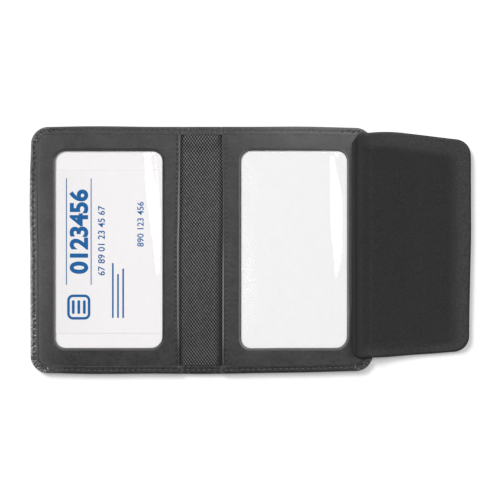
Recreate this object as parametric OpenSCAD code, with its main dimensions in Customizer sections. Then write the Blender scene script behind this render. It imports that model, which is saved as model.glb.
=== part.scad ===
// Book-fold badge wallet, open and lying flat on its outer cover.
// Each half holds a card pocket behind a clear window, and a badge flap
// hangs out to the right of the right half.
// The origin is at the middle of the spine, on the surface that the wallet lies on.
// +X runs across the open wallet to the flap, +Y up the fold, +Z away from the cover.

/* [Wallet] */
// Width of the open wallet from edge to edge, without the flap
open_w = 186; // [184:0.5:196]
// Height of the wallet along its fold
wallet_h = 134; // [130:0.5:150]
// Radius of the four outer corners
corner_r = 9.2; // [7:0.1:14]
// Distance between the two fold lines of the spine
spine_w = 12; // [11:0.5:16]

/* [Leather] */
// Thickness of the cover leather
cover_t = 1.2; // [0.8:0.1:1.5]
// Thickness of the cover's edge where it is turned over onto the inside
edge_t = 0.9; // [0.6:0.1:1]
// Width of the turned edge
edge_w = 4.3; // [3.8:0.1:5]
// Thickness of the leather of the window frames
frame_t = 0.8; // [0.6:0.1:1]

/* [Pockets] */
// Thickness of the woven lining
lining_t = 0.3; // [0.2:0.05:0.5]
// Room for cards between the lining and a window
pocket_gap = 0.65; // [0.65:0.05:1.2]
// Thickness of the clear windows
vinyl_t = 0.3; // [0.2:0.05:0.4]
// Distance of each pocket's mouth from the middle of the spine
mouth_x = 11.7; // [11:0.1:13]
// Width of a window opening
window_w = 57.8; // [50:0.1:59]
// Height of a window opening
window_h = 106.9; // [90:0.1:108]
// Radius of a window opening's corners
window_r = 5.6; // [3:0.1:10]
// Distance of each window's middle from the middle of the spine
window_x = 50.2; // [49:0.1:51]
// How far the windows sit above the middle of the wallet
window_y = 0.3; // [0:0.1:1]

/* [Cards] */
// Width of the white inserts, across the wallet
insert_w = 63.5; // [60:0.1:66]
// Height of the white inserts
insert_h = 109; // [108:0.1:112]
// Width of the printed card, across the wallet
display_w = 63.5; // [60:0.1:66]
// Height of the printed card
display_h = 88.9; // [85:0.1:95]
// Height of the printed card's middle above the middle of the wallet
display_y = -0.8; // [-4:0.1:4]
// Thickness of each card
card_t = 0.28; // [0.2:0.01:0.28]

/* [Badge flap] */
// Distance of the flap's crease from the middle of the spine
crease_x = 86; // [85:0.1:87]
// Width of the strip that is sewn to the right frame
root_w = 4.4; // [4:0.1:5]
// Width of the flap from its crease to its free edge
flap_w = 60.5; // [54:0.1:62]
// Height of the flap's upper edge above the middle of the wallet, where it is highest
flap_up = 64.2; // [60:0.1:64.5]
// Depth of the flap's lower edge below the middle of the wallet, where it is lowest
flap_down = 58.6; // [54:0.1:60]
// How much the upper edge falls on its way to the free edge
upper_taper = 5.2; // [0:0.1:8]
// How much the lower edge rises on its way to the free edge
lower_taper = 4; // [0:0.1:8]
// Radius of the flap's free corners
flap_r = 8; // [4:0.1:12]
// Thickness of the flap's leather
flap_leather_t = 1.1; // [0.8:0.1:1.2]
// Thickness of the flap's stiffener board
board_t = 0.5; // [0.3:0.1:0.6]
// Thickness of the flap's felt
felt_t = 0.8; // [0.6:0.1:1]
// Thickness of the felt on the sewn strip, where the seam presses it
root_felt_t = 0.5; // [0.4:0.05:0.6]

/* [Seams] */
// Distance of the edge seam from the wallet's edge
seam_inset = 2.25; // [2:0.05:2.6]
// Distance between the stitches of the edge seam
edge_pitch = 2.95; // [2.5:0.05:4]
// Distance of each mouth seam from its pocket's mouth
mouth_inset = 2.35; // [2:0.05:3]
// Distance between the stitches of the mouth seams
mouth_pitch = 2.66; // [2.4:0.02:4]
// Part of the pitch that a stitch covers
stitch_share = 0.76; // [0.6:0.01:0.85]
// Diameter of the thread
thread_d = 0.5; // [0.3:0.05:0.6]

/* [Hidden] */
$fn = 48;
half_w = open_w / 2;
half_h = wallet_h / 2;
crease = spine_w / 2;
hinge_gap = 0.05;  // each side of a fold line
panel_start = crease + hinge_gap;
wrap_t = 1;  // leather that wraps round the outside of the layers
edge_clear = 1;  // the turned edge of the spine stops short of the folds, so it can fold

// heights above the table
lining_top = cover_t + lining_t;
vinyl_z = lining_top + pocket_gap;
frame_z = vinyl_z + vinyl_t;
frame_top = frame_z + frame_t;
rim_top = lining_top + frame_t;
edge_top = rim_top + edge_t;
low_edge_top = lining_top + edge_t;

// the frame's sewn border lies on the lining, and steps up inside the turned edge
step_out = edge_w + 0.3;
step_in = step_out + frame_t;
vinyl_inset = step_in + 0.1;
card_play = 0.03;

// the flap lies on the turned edge and slopes down to the table
flap_clear = 0.1;
flap_tilt = atan((edge_top + flap_clear) / (crease_x + flap_w - half_w));
flap_base = flap_w * tan(flap_tilt);
crease_gap = 0.15;
shoulder = 16;  // from the crease to where the flap starts to taper
root_r = 8;
root_low_r = 5;
root_fall = 1.4;  // the root's ends are a little lower than the shoulder
root_z = frame_top;
root_felt_z = root_z + flap_leather_t;
root_seam_x = crease_x - root_w / 2;
seam_groove_w = 0.9;
seam_groove_d = 0.35;

// the board raises the felt, apart from a border
border_up = 7.4;
border_down = 5.6;
border_side = 8.8;
border_crease = 4.9;  // clear of the sewn strip when the flap is folded in
board_inset = 0.8;
board_r = 4;

leather_colour = [0.27, 0.27, 0.28];
edge_colour = [0.32, 0.32, 0.33];
lining_colour = [0.2, 0.2, 0.21];
thread_colour = [0.16, 0.16, 0.17];
felt_colour = [0.14, 0.14, 0.14];
paper_colour = [0.95, 0.95, 0.95];

// Geometry helpers

function unit(v) = v / norm(v);
function half_angle(a, p, b) = acos(unit(a - p) * unit(b - p)) / 2;
function before(points, i) = points[(i + len(points) - 1) % len(points)];
function after(points, i) = points[(i + 1) % len(points)];

// The two ends of a corner's arc, or the corner itself where its radius is 0
function arc_ends(a, p, b, r) = r == 0
    ? [p]
    : [p + unit(a - p) * r / tan(half_angle(a, p, b)), p + unit(b - p) * r / tan(half_angle(a, p, b))];

// A flat outline with a true arc at each corner that has a radius
module rounded(points, radii) {
    polygon([
        for (i = [0:len(points) - 1])
            each arc_ends(before(points, i), points[i], after(points, i), radii[i])
    ]);
    for (i = [0:len(points) - 1]) {
        a = before(points, i) - points[i];
        b = after(points, i) - points[i];
        if (radii[i] > 0)
            translate(points[i] + unit(unit(a) + unit(b)) * radii[i] / sin(half_angle(a, [0, 0], b)))
                circle(radii[i]);
    }
}

module rectangle(w, h, r) {
    rounded([[-w / 2, -h / 2], [w / 2, -h / 2], [w / 2, h / 2], [-w / 2, h / 2]], [r, r, r, r]);
}

// The right half's outline from a start line to a given inset from its edge
module half_outline(start, inset) {
    x = half_w - inset;
    y = half_h - inset;
    r = max(corner_r - inset, 1);
    rounded([[start, -y], [x, -y], [x, y], [start, y]], [0, r, r, 0]);
}

// A border along the right half's outline, between two insets
module half_border(start, outer, inner) {
    difference() {
        half_outline(start, outer);
        half_outline(start - 1, inner);
    }
}

module layer(z, t) {
    translate([0, 0, z]) linear_extrude(t) children();
}

// The left half mirrors the right half
module left_side() {
    mirror([1, 0, 0]) children();
}

// Cover and lining

module cover_half() {
    color(leather_colour) layer(0, cover_t) half_outline(panel_start, 0);
}

module strip(half, inset, z, t) {
    layer(z, t) square([2 * half, wallet_h - 2 * inset], center = true);
}

module lining_half() {
    color(lining_colour) layer(cover_t, lining_t) half_outline(panel_start, wrap_t);
}

module cover_spine() {
    color(leather_colour) strip(crease - hinge_gap, 0, 0, cover_t);
}

module lining_spine() {
    color(lining_colour) strip(crease - hinge_gap, wrap_t, cover_t, lining_t);
}

// The cover's edge: it wraps round the layers and is turned over onto them.
// It lies on the lining near the fold, and steps up onto the frame at the pocket's mouth.
module turned_edge_half() {
    color(edge_colour) {
        layer(cover_t, low_edge_top - cover_t) half_border(panel_start, 0, wrap_t);
        layer(cover_t, edge_top - cover_t) half_border(mouth_x, 0, wrap_t);
        layer(rim_top, edge_t) half_border(mouth_x, 0, edge_w);
        layer(lining_top, edge_t) intersection() {
            half_border(panel_start, 0, edge_w);
            translate([panel_start, -half_h]) square([mouth_x - panel_start, wallet_h]);
        }
    }
}

module turned_edge_spine() {
    half = crease - edge_clear;
    color(edge_colour)
        for (side = [-1, 1]) {
            outer = side * (half_h - wrap_t / 2);
            lip = side * (half_h - edge_w / 2);
            layer(cover_t, low_edge_top - cover_t) translate([0, outer]) square([2 * half, wrap_t], center = true);
            layer(lining_top, edge_t) translate([0, lip]) square([2 * half, edge_w], center = true);
        }
}

// Pockets

module window_hole() {
    translate([window_x, window_y]) rectangle(window_w, window_h, window_r);
}

// The frame's border is sewn down onto the lining on three sides.
// Inside the turned edge it steps up over the card pocket, which is open at the mouth.
module frame_half() {
    color(leather_colour) {
        layer(lining_top, frame_t) half_border(mouth_x, wrap_t, step_in);
        layer(lining_top, frame_top - lining_top) half_border(mouth_x, step_out, step_in);
        layer(frame_z, frame_t) difference() {
            half_outline(mouth_x, step_out);
            window_hole();
        }
    }
}

module vinyl_half() {
    color([0.85, 0.88, 0.9, 0.35]) layer(vinyl_z, vinyl_t) half_outline(mouth_x, vinyl_inset);
}

module insert(x) {
    color(paper_colour)
        layer(lining_top + card_play, card_t)
            translate([x, window_y]) rectangle(insert_w, insert_h, 1.5);
}

module display_card() {
    color("white")
        layer(lining_top + 2 * card_play + card_t, card_t)
            translate([-window_x, display_y]) rectangle(display_w, display_h, 0.6);
}

// Seams

// One stitch lies along X, half sunk into the surface at z = 0
module stitch(pitch) {
    length = pitch * stitch_share;
    intersection() {
        translate([-length / 2, 0, 0]) rotate([0, 90, 0]) cylinder(h = length, d = thread_d, $fn = 24);
        translate([-length, -thread_d, 0]) cube([2 * length, 2 * thread_d, thread_d]);
    }
}

// A straight row of stitches from one point to another
module stitch_row(from, to, pitch, z) {
    run = norm(to - from);
    count = floor(run / pitch);
    step = run / count;
    turn = atan2(to.y - from.y, to.x - from.x);
    for (i = [0:count - 1])
        translate([each (from + (i + 0.5) * step * unit(to - from)), z]) rotate(turn) stitch(step);
}

// The right half's edge seam: two rows along Y's ends, one along the side, and the corners
module edge_seam_half() {
    x = half_w - seam_inset;
    y = half_h - seam_inset;
    r = corner_r - seam_inset;
    arc = PI * r / 2;
    in_corner = max(round(arc / edge_pitch), 1);
    color(thread_colour) {
        for (side = [-1, 1]) {
            stitch_row([panel_start + 0.3, side * y], [mouth_x - 0.1, side * y], edge_pitch * 0.9, low_edge_top);
            stitch_row([mouth_x + 0.1, side * y], [x - r, side * y], edge_pitch, edge_top);
            for (i = [0:in_corner - 1]) {
                turn = side * (90 - (i + 0.5) * 90 / in_corner);
                translate([x - r + r * cos(turn), side * (y - r) + r * sin(turn), edge_top])
                    rotate(turn + 90) stitch(arc / in_corner * 0.9);
            }
        }
        stitch_row([x, r - y], [x, y - r], edge_pitch, edge_top);
    }
}

module edge_seam_spine() {
    half = crease - edge_clear - 0.2;
    y = half_h - seam_inset;
    color(thread_colour)
        for (side = [-1, 1])
            stitch_row([-half, side * y], [half, side * y], edge_pitch, low_edge_top);
}

module mouth_seam_half() {
    x = mouth_x + mouth_inset;
    y = half_h - step_out - 0.2;
    color(thread_colour) stitch_row([x, -y], [x, y], mouth_pitch, frame_top);
}

// Badge flap

// The whole flap with its root, seen square on, with the crease at x = 0
module flap_outline(inset = 0) {
    rounded(
        [
            [inset - root_w, inset - flap_down],
            [shoulder, inset - flap_down],
            [flap_w - inset - 1.2, inset - flap_down + lower_taper],
            [flap_w - inset, flap_up - inset - upper_taper],
            [shoulder, flap_up - inset],
            [inset - root_w, flap_up - inset - root_fall],
        ],
        [root_low_r, 0, flap_r, flap_r, 0, root_r]
    );
}

// The raised middle of the flap, drawn in from its border
module board_outline(inset) {
    top = flap_up - border_up - inset;
    low = border_down + inset - flap_down;
    end = flap_w - border_side - inset;
    rounded(
        [
            [border_crease + inset, low],
            [shoulder, low],
            [end, low + lower_taper],
            [end, top - upper_taper],
            [shoulder, top],
            [border_crease + inset, top],
        ],
        [1, 0, board_r, board_r, 0, 1]
    );
}

module right_of(x) {
    intersection() {
        children();
        translate([x, -wallet_h]) square([open_w, 2 * wallet_h]);
    }
}

module left_of(x) {
    intersection() {
        children();
        translate([x - open_w, -wallet_h]) square([open_w, 2 * wallet_h]);
    }
}

// The flap's own plane: the crease is at x = 0, and the leather's outer face at z = 0
module on_flap() {
    translate([crease_x, 0, flap_base]) rotate([0, flap_tilt, 0]) children();
}

module flap_leather() {
    color(leather_colour) on_flap() layer(0, flap_leather_t) right_of(crease_gap) flap_outline();
}

module flap_stiffener() {
    color("tan") on_flap() layer(flap_leather_t, board_t) board_outline(board_inset);
}

// The felt is glued down round the board, and the board raises its middle
module flap_felt() {
    color(felt_colour)
        on_flap()
            difference() {
                union() {
                    layer(flap_leather_t, felt_t) right_of(crease_gap) flap_outline(0.2);
                    layer(flap_leather_t, felt_t + board_t) board_outline(0);
                }
                layer(flap_leather_t - 1, board_t + 1) board_outline(board_inset);
            }
}

module flap_root_leather() {
    color(leather_colour)
        translate([crease_x, 0, 0])
            layer(root_z, flap_leather_t) left_of(-2 * hinge_gap) flap_outline();
}

// A groove in the root's felt lets the seam sink below the pile
module flap_root_felt() {
    color(felt_colour)
        difference() {
            translate([crease_x, 0, 0])
                layer(root_felt_z, root_felt_t) left_of(-2 * hinge_gap) flap_outline(0.2);
            translate([root_seam_x - seam_groove_w / 2, -wallet_h, root_felt_z + root_felt_t - seam_groove_d])
                cube([seam_groove_w, 2 * wallet_h, 1]);
        }
}

module flap_root_stitching() {
    bottom = root_felt_z + root_felt_t - seam_groove_d;
    color(thread_colour)
        stitch_row([root_seam_x, 6 - flap_down], [root_seam_x, flap_up - 8], edge_pitch, bottom);
}

left_side() cover_half();  // cover_left
cover_spine();
cover_half();  // cover_right
left_side() turned_edge_half();  // turned_edge_left
turned_edge_spine();
turned_edge_half();  // turned_edge_right
left_side() lining_half();  // lining_left
lining_spine();
lining_half();  // lining_right
insert(-window_x);  // backing_card_left
display_card();
insert(window_x);  // insert_card_right
left_side() vinyl_half();  // window_left
vinyl_half();  // window_right
left_side() frame_half();  // frame_left
frame_half();  // frame_right
left_side() edge_seam_half();  // edge_stitching_left
edge_seam_spine();  // edge_stitching_spine
edge_seam_half();  // edge_stitching_right
left_side() mouth_seam_half();  // slot_stitching_left
mouth_seam_half();  // slot_stitching_right
flap_root_leather();
flap_root_felt();
flap_root_stitching();
flap_leather();
flap_stiffener();
flap_felt();
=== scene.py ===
import math

import bpy
import numpy as np
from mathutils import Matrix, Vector
from mathutils.geometry import delaunay_2d_cdt


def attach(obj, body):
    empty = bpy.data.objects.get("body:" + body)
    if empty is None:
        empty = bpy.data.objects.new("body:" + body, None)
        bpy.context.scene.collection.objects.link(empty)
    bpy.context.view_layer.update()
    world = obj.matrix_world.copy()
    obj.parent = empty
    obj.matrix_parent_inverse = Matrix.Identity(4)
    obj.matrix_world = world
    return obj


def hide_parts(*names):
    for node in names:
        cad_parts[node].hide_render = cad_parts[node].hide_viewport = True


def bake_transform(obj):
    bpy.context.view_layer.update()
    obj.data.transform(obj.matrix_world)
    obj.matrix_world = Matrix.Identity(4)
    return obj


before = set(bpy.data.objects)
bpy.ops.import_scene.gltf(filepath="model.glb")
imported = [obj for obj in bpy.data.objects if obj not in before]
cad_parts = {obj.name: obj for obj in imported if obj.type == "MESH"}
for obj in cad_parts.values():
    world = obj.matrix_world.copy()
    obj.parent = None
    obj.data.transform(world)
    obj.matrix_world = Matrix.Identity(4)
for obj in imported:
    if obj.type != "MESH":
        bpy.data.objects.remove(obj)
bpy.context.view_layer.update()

# Lengths below are in millimetres, and angles in degrees, unless a name says otherwise
MM = 0.001

# The open wallet
HALF_W = 93.0
HALF_H = 67.0
CORNER_R = 9.2
CREASE = 6.0  # the spine's two folds lie this far from its middle
FOLD_REACH = 1.6  # the leather bends this far to each side of a fold
COVER_T = 1.2
HEM_TOP = 3.2
HEM_LOW_TOP = 2.4  # across the spine, where no pocket lies under the hem
HEM_T = 0.85
WRAP_T = 1.0
SIDES = ((-1, "left"), (1, "right"))

# The pockets
MOUTH_X = 11.7
WINDOW_X = 50.2
WINDOW_Y = 0.3
WINDOW_W = 57.8
WINDOW_H = 106.9
WINDOW_R = 5.6
FRAME_T = 0.68
FRAME_TOP = 3.13
FRAME_BORDER_TOP = 2.3
FRAME_STEP = (3.3, 4.3)  # the frame climbs from its sewn border between these insets
VINYL_INSET = 5.5
VINYL_LOW = 2.15
VINYL_TOP = 2.45
LINING_INSET = 1.05
LINING_LOW = 1.2
LINING_TOP = 1.5
INSERT = (63.5, 109.0, 1.5)  # width, height, corner radius
DISPLAY = (63.5, 88.9, 0.6)
DISPLAY_Y = -0.8
CARD_T = 0.28
DISPLAY_T = 0.11
CARD_PLAY = 0.03

# The badge flap, along it from its crease
CREASE_X = 86.0
ROOT_W = 4.4
ROOT_SEAM_X = 83.8
FLAP_W = 60.5
FLAP_UP = 64.2
FLAP_DOWN = 58.6
FLAP_SHOULDER = 16.0
FLAP_UPPER_TAPER = 5.2
FLAP_LOWER_TAPER = 4.0
FLAP_BASE = 3.7318  # height of the leather's outer face at the crease
FLAP_SLOPE = 0.061682
FLAP_LEATHER_T = 1.1
FELT_T = 0.8
ROOT_FELT_T = 0.5
BOARD_T = 0.5
BORDER_UP = 7.4
BORDER_DOWN = 5.6
BORDER_SIDE = 8.8
BORDER_CREASE = 4.9

# The seams
SEAM_INSET = 2.25
EDGE_PITCH = 2.95
MOUTH_INSET = 2.1
MOUTH_PITCH = 2.66
THREAD_R = 0.24

# The photograph's view: straight down, centred on the wallet with its flap
VIEW_X = 26.3
VIEW_W = 271.2
LENS = 100.0
SENSOR = 36.0


# Shapes


def smooth(x, low, high):
    """0 below low, 1 above high, and an even step between them."""
    t = np.clip((x - low) / (high - low), 0, 1)
    return t * t * (3 - 2 * t)


def fall(x, low, high):
    """1 below low, 0 above high, and an even step between them."""
    return 1 - smooth(x, low, high)


def bell(x, centre, width):
    return np.exp(-(((x - centre) / width) ** 2))


def spot(x, y, at, width):
    """1 at a place, and less with the distance from it."""
    return bell(np.hypot(x - at[0], y - at[1]), 0, width)


def ripple(x, y, size, seed):
    """Unevenness between about -1 and 1, in waves about size long."""
    draw = np.random.default_rng(seed)
    total = np.zeros(np.broadcast(x, y).shape)
    for angle, phase, stretch in zip(
        draw.uniform(0, math.pi, 6), draw.uniform(0, 2 * math.pi, 6), draw.uniform(0.7, 1.4, 6)
    ):
        k = 2 * math.pi / (size * stretch)
        total += np.sin(k * (x * math.cos(angle) + y * math.sin(angle)) + phase)
    return total / 3


def unit(v):
    return v / np.linalg.norm(v)


def spaced(start, end, step):
    """Values from start to just before end, evenly spaced about step apart."""
    count = max(1, round(abs(end - start) / step))
    return np.linspace(start, end, count, endpoint=False)


def rounded_loop(corners, step):
    """A closed outline through (x, y, radius) corners, in points about step apart."""
    key = []
    for i, (x, y, r) in enumerate(corners):
        here = np.array([x, y], float)
        before = unit(np.array(corners[i - 1][:2], float) - here)
        after = unit(np.array(corners[(i + 1) % len(corners)][:2], float) - here)
        if r == 0:
            key.append(here)
            continue
        half = math.acos(np.clip(before @ after, -1, 1)) / 2
        centre = here + unit(before + after) * r / math.sin(half)
        first = here + before * r / math.tan(half) - centre
        last = here + after * r / math.tan(half) - centre
        start = math.atan2(first[1], first[0])
        turn = math.atan2(last[1], last[0]) - start
        turn = (turn + math.pi) % (2 * math.pi) - math.pi
        count = max(1, math.ceil(abs(turn) * r / step))
        for k in range(count + 1):
            angle = start + turn * k / count
            key.append(centre + r * np.array([math.cos(angle), math.sin(angle)]))
    loop = []
    for a, b in zip(key, key[1:] + key[:1]):
        loop += [a + (b - a) * t for t in spaced(0, 1, step / max(np.linalg.norm(b - a), 1e-6))]
    return np.array(loop)


def box_loop(x, y, w, h, r, step):
    """A rounded rectangle about (x, y), counter-clockwise."""
    signs = ((-1, -1), (1, -1), (1, 1), (-1, 1))
    return rounded_loop([(x + i * w / 2, y + j * h / 2, r) for i, j in signs], step)


def half_loop(mouth, drawn_in, step):
    """The left half's outline, drawn in from its edge and cut off straight at x = -mouth."""
    x, y, r = drawn_in - HALF_W, HALF_H - drawn_in, CORNER_R - drawn_in
    return rounded_loop([(-mouth, y, 0), (x, y, r), (x, -y, r), (-mouth, -y, 0)], step)


def moved_in(loop, distance):
    """A counter-clockwise loop drawn in by a distance, or let out by a negative one."""
    along = np.roll(loop, -1, 0) - np.roll(loop, 1, 0)
    along /= np.linalg.norm(along, axis=1)[:, None]
    return loop + distance * np.c_[-along[:, 1], along[:, 0]]


def box_depth(x, y, half_w, half_h, r):
    """How far a point lies inside a rounded rectangle about the origin."""
    across = np.abs(x) - (half_w - r)
    up = np.abs(y) - (half_h - r)
    outside = np.hypot(np.maximum(across, 0), np.maximum(up, 0))
    return r - outside - np.minimum(np.maximum(across, up), 0)


def inset(x, y):
    """How far a point lies inside the open wallet's edge."""
    return box_depth(x, y, HALF_W, HALF_H, CORNER_R)


def window_gap(x, y):
    """How far a point of the left half lies outside the window."""
    return -box_depth(x + WINDOW_X, y - WINDOW_Y, WINDOW_W / 2, WINDOW_H / 2, WINDOW_R)


def frame_level(depth):
    """Height of a pocket frame's top, which steps up from its border under the cover's hem."""
    return FRAME_BORDER_TOP + (FRAME_TOP - FRAME_BORDER_TOP) * smooth(depth, *FRAME_STEP)


def loop_depth(loop, points):
    """How far each point lies from the loop's edges."""
    ab = np.roll(loop, -1, 0) - loop
    long = (ab**2).sum(1)
    nearest = []
    for start in range(0, len(points), 800):
        p = points[start : start + 800, None, :] - loop
        t = np.clip((p * ab).sum(-1) / long, 0, 1)
        nearest.append(np.linalg.norm(p - t[..., None] * ab, axis=-1).min(1))
    return np.concatenate(nearest)


def inside_loop(loop, x, y):
    """True for points inside a convex counter-clockwise loop."""
    inside = np.ones(len(x), bool)
    for (ax, ay), (bx, by) in zip(loop, np.roll(loop, -1, 0)):
        inside &= (bx - ax) * (y - ay) - (by - ay) * (x - ax) > -1e-4
    return inside


def grid(x_values, y_values):
    x, y = np.meshgrid(x_values, y_values)
    return np.c_[x.ravel(), y.ravel()]


def triangulated(loops, points, keep):
    """Points and counter-clockwise triangles over loops and loose points.

    Only triangles whose middles keep(x, y) accepts are returned. The third value gives,
    for each point, the index that it had among the loops' own points, or -1.
    """
    edges = []
    start = 0
    for loop in loops:
        count = len(loop)
        edges += [(start + i, start + (i + 1) % count) for i in range(count)]
        start += count
    coords = np.vstack([*loops, points]).tolist()
    found = delaunay_2d_cdt([Vector(p) for p in coords], edges, [], 0, 1e-5, True)
    xy = np.array([v[:] for v in found[0]])
    triangles = np.array(found[2])
    origin = np.array([min(ids) if ids and min(ids) < start else -1 for ids in found[3]])
    a, b, c = (xy[triangles[:, k]] for k in range(3))
    area = (b[:, 0] - a[:, 0]) * (c[:, 1] - a[:, 1]) - (b[:, 1] - a[:, 1]) * (c[:, 0] - a[:, 0])
    triangles[area < 0] = triangles[area < 0][:, ::-1]
    triangles = triangles[keep(*((a + b + c) / 3).T) & (np.abs(area) > 1e-9)]
    used = np.unique(triangles)
    renumber = np.full(len(xy), -1)
    renumber[used] = np.arange(len(used))
    return xy[used], list(map(tuple, renumber[triangles].tolist())), origin[used]


def shell(outer, inner, faces):
    """A closed solid between two skins that share their faces: open edges are walled up."""
    count = len(outer)
    edges = {edge for f in faces for edge in zip(f, f[1:] + f[:1])}
    walls = [(b, a, a + count, b + count) for a, b in sorted(edges) if (b, a) not in edges]
    back = [tuple(i + count for i in reversed(f)) for f in faces]
    return np.vstack([outer, inner]), faces + back + walls


def plate(xy, top, low, faces):
    """A closed solid between two heights over the same points."""
    outer, inner = (np.c_[xy, np.broadcast_to(z, len(xy))] for z in (top, low))
    return shell(outer, inner, faces)


def halves(solid):
    """A solid of the left half, and its mirror image in the right half."""
    turned = solid[0] * np.array([-1, 1, 1]), [tuple(reversed(f)) for f in solid[1]]
    return [(*side, *half) for side, half in zip(SIDES, (solid, turned))]


def joined(parts):
    """Several solids as one list of points and faces."""
    points, faces, start = [], [], 0
    for p, f in parts:
        points.append(p)
        faces += [tuple(i + start for i in face) for face in f]
        start += len(p)
    return np.vstack(points), faces


def waved(x, half, sizes):
    """A slow wave along an edge that runs from -half to half, of growing frequencies."""
    return sum(size * np.cos(k * math.pi * (x + half) / (2 * half)) for k, size in enumerate(sizes))


def settled(points):
    """The wallet's edges aren't quite straight, and its left edge is pressed in and out a little."""
    x, y, z = points.T
    upper = waved(x, HALF_W, (0.0, 0.16, -0.1, 0.08, -0.19, 0.0, -0.12)) * smooth(y, 55, 64)
    lower = waved(x, HALF_W, (0.07, -0.51, 0.46, -0.08, 0.13, 0.05, 0.14)) * smooth(-y, 54, 63)
    outer = waved(y, HALF_H, (0.14, 0.23, 0.2, -0.19, 0.1))
    outer = (outer - 0.16 * smooth(-y, -54, -46) - 0.19 * smooth(-y, 2, 14)) * smooth(-x, 80, HALF_W - 3)
    return np.c_[x + outer, y + upper + lower, z]


MOUTH_BOWS = {  # how far each pocket mouth strays along x, at these heights
    -1: (
        (-60, -50, -40, -15, 3, 16, 33, 50, 60),
        (0.2, 0.0, -0.22, -0.28, -0.28, 0.1, 0.25, 0.5, 0.55),
    ),
    1: ((-60, -30, 0, 16, 35, 48, 60), (-0.35, -0.32, -0.28, -0.15, -0.15, -0.5, -0.55)),
}


def bowed(points, side):
    """A pocket's parts beside its mouth, moved along with the mouth's uneven edge."""
    x, y, z = points.T
    near = fall(np.abs(x) - MOUTH_X, 3.0, 7.5)
    return np.c_[x + near * np.interp(y, *MOUTH_BOWS[side]), y, z]


def painted_sheen(x, y, low_right=0.05):
    """Painted sheen on the leather, faint all over and more towards the top, most at the upper right, and
    paler leather along the left side.
    """
    overall = 0.01 + 0.04 * smooth(y, -62, -25)
    left = 0.18 * fall(x, -91, -72) * (1 - 0.5 * smooth(y, 22, 44))
    upper = 0.03 * smooth(y, 48, 60) + 0.18 * smooth(y, 44, 60) * smooth(x, 5, 60)
    right = 0.06 * smooth(x, 74, 80) * smooth(y, -62, -30)
    middle = 0.035 * fall(np.abs(x + 3), 14, 24) * smooth(y, -64, -40)
    low = low_right * smooth(x, 0, 40) * fall(y, -55, -25)
    return overall + np.maximum(np.maximum(left, upper), np.maximum(right, middle)) + low


def make_piece(name, solid, material, slot, nodes=(), body=None, bend=None, **marks):
    """A mesh piece in place of CAD nodes.

    marks are numbers that its material reads, for each point or for each point of one skin.
    """
    points, faces = solid
    mesh = bpy.data.meshes.new(name)
    mesh.from_pydata((points * MM).tolist(), [], faces)
    rest = mesh.attributes.new("rest", "FLOAT_VECTOR", "POINT")
    rest.data.foreach_set("vector", (points * MM).astype(np.float32).ravel())
    for mark, values in marks.items():
        layer = mesh.attributes.new(mark, "FLOAT", "POINT")
        layer.data.foreach_set("value", np.resize(values, len(points)).astype(np.float32))
    mesh.materials.append(material)
    mesh.shade_smooth()
    mesh.set_sharp_from_angle(angle=math.radians(48))
    mesh.update()
    obj = bpy.data.objects.new(name, mesh)
    bpy.context.scene.collection.objects.link(obj)
    if nodes:
        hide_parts(*nodes)
    if bend:
        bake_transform(obj)
    else:
        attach(obj, body)
    return obj


# Materials


class Graph:
    """Shader nodes, added one by one. An input is a number, a colour or another node's output."""

    def __init__(self, owner):
        self.owner = owner
        owner.use_nodes = True
        self.tree = owner.node_tree
        self.tree.nodes.clear()

    def add(self, kind, inputs=None, output=0, **settings):
        node = self.tree.nodes.new("ShaderNode" + kind)
        for key, value in settings.items():
            setattr(node, key, value)
        for key, value in (inputs or {}).items():
            socket = node.inputs[key]
            if isinstance(value, bpy.types.NodeSocket):
                self.tree.links.new(value, socket)
            else:
                socket.default_value = value
        return node.outputs[output]

    def mark(self, name, output="Fac"):
        return self.add("Attribute", output=output, attribute_name=name)

    def rest(self):
        return self.mark("rest", "Vector")

    def calc(self, operation, *values):
        return self.add("Math", dict(enumerate(values)), operation=operation)

    def times(self, a, b):
        return self.calc("MULTIPLY", a, b)

    def summed(self, a, a_share, b, b_share):
        return self.calc("ADD", self.times(a, a_share), self.times(b, b_share))

    def stretched(self, where, y):
        """Coordinates in which a pattern is drawn out along y, to 1 / y of its length."""
        return self.add("Mapping", {"Vector": where, "Scale": (1.0, y, 1.0)})

    def swayed(self, where, scale, reach):
        """Coordinates moved by fine noise, up to reach metres."""
        noise = self.add("TexNoise", {"Vector": where, "Scale": scale}, "Color")
        sway = self.add("VectorMath", {0: noise, 1: reach}, operation="MULTIPLY")
        return self.add("VectorMath", {0: where, 1: sway}, operation="ADD")

    def noise(self, vector, size, detail=3.0, roughness=0.55):
        """Cloudy noise from 0 to 1 whose blots are about size millimetres across."""
        inputs = {"Vector": vector, "Scale": 1 / (size * MM), "Detail": detail, "Roughness": roughness}
        return self.add("TexNoise", inputs)

    def spread(self, value, to_low=0.0, to_high=1.0, low=0.3, high=0.7):
        """The range from low to high, which suits noise, drawn out to another range."""
        return self.add("MapRange", {0: value, 1: low, 2: high, 3: to_low, 4: to_high})

    def mixed(self, share, a, b):
        """Colour a where share is 0, and b where it is 1."""
        return self.add("Mix", {0: share, 6: a, 7: b}, 2, data_type="RGBA")

    def bump(self, height, depth, strength=1.0, normal=None):
        """A normal bent by a height from 0 to 1, which stands for depth millimetres."""
        inputs = {"Height": height, "Distance": depth * MM, "Strength": strength}
        if normal is not None:
            inputs["Normal"] = normal
        return self.add("Bump", inputs)

    def surface(self, colour, roughness, specular, normal=None, **sockets):
        inputs = {"Base Color": colour, "Roughness": roughness, "Specular IOR Level": specular}
        if normal is not None:
            inputs["Normal"] = normal
        inputs.update({key.replace("_", " "): value for key, value in sockets.items()})
        return self.finish(self.add("BsdfPrincipled", inputs))

    def finish(self, shader, kind="Material"):
        out = self.tree.nodes.new("ShaderNodeOutput" + kind)
        self.tree.links.new(shader, out.inputs["Surface"])
        return self.owner


def material_graph(name):
    return Graph(bpy.data.materials.new(name))


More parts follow.
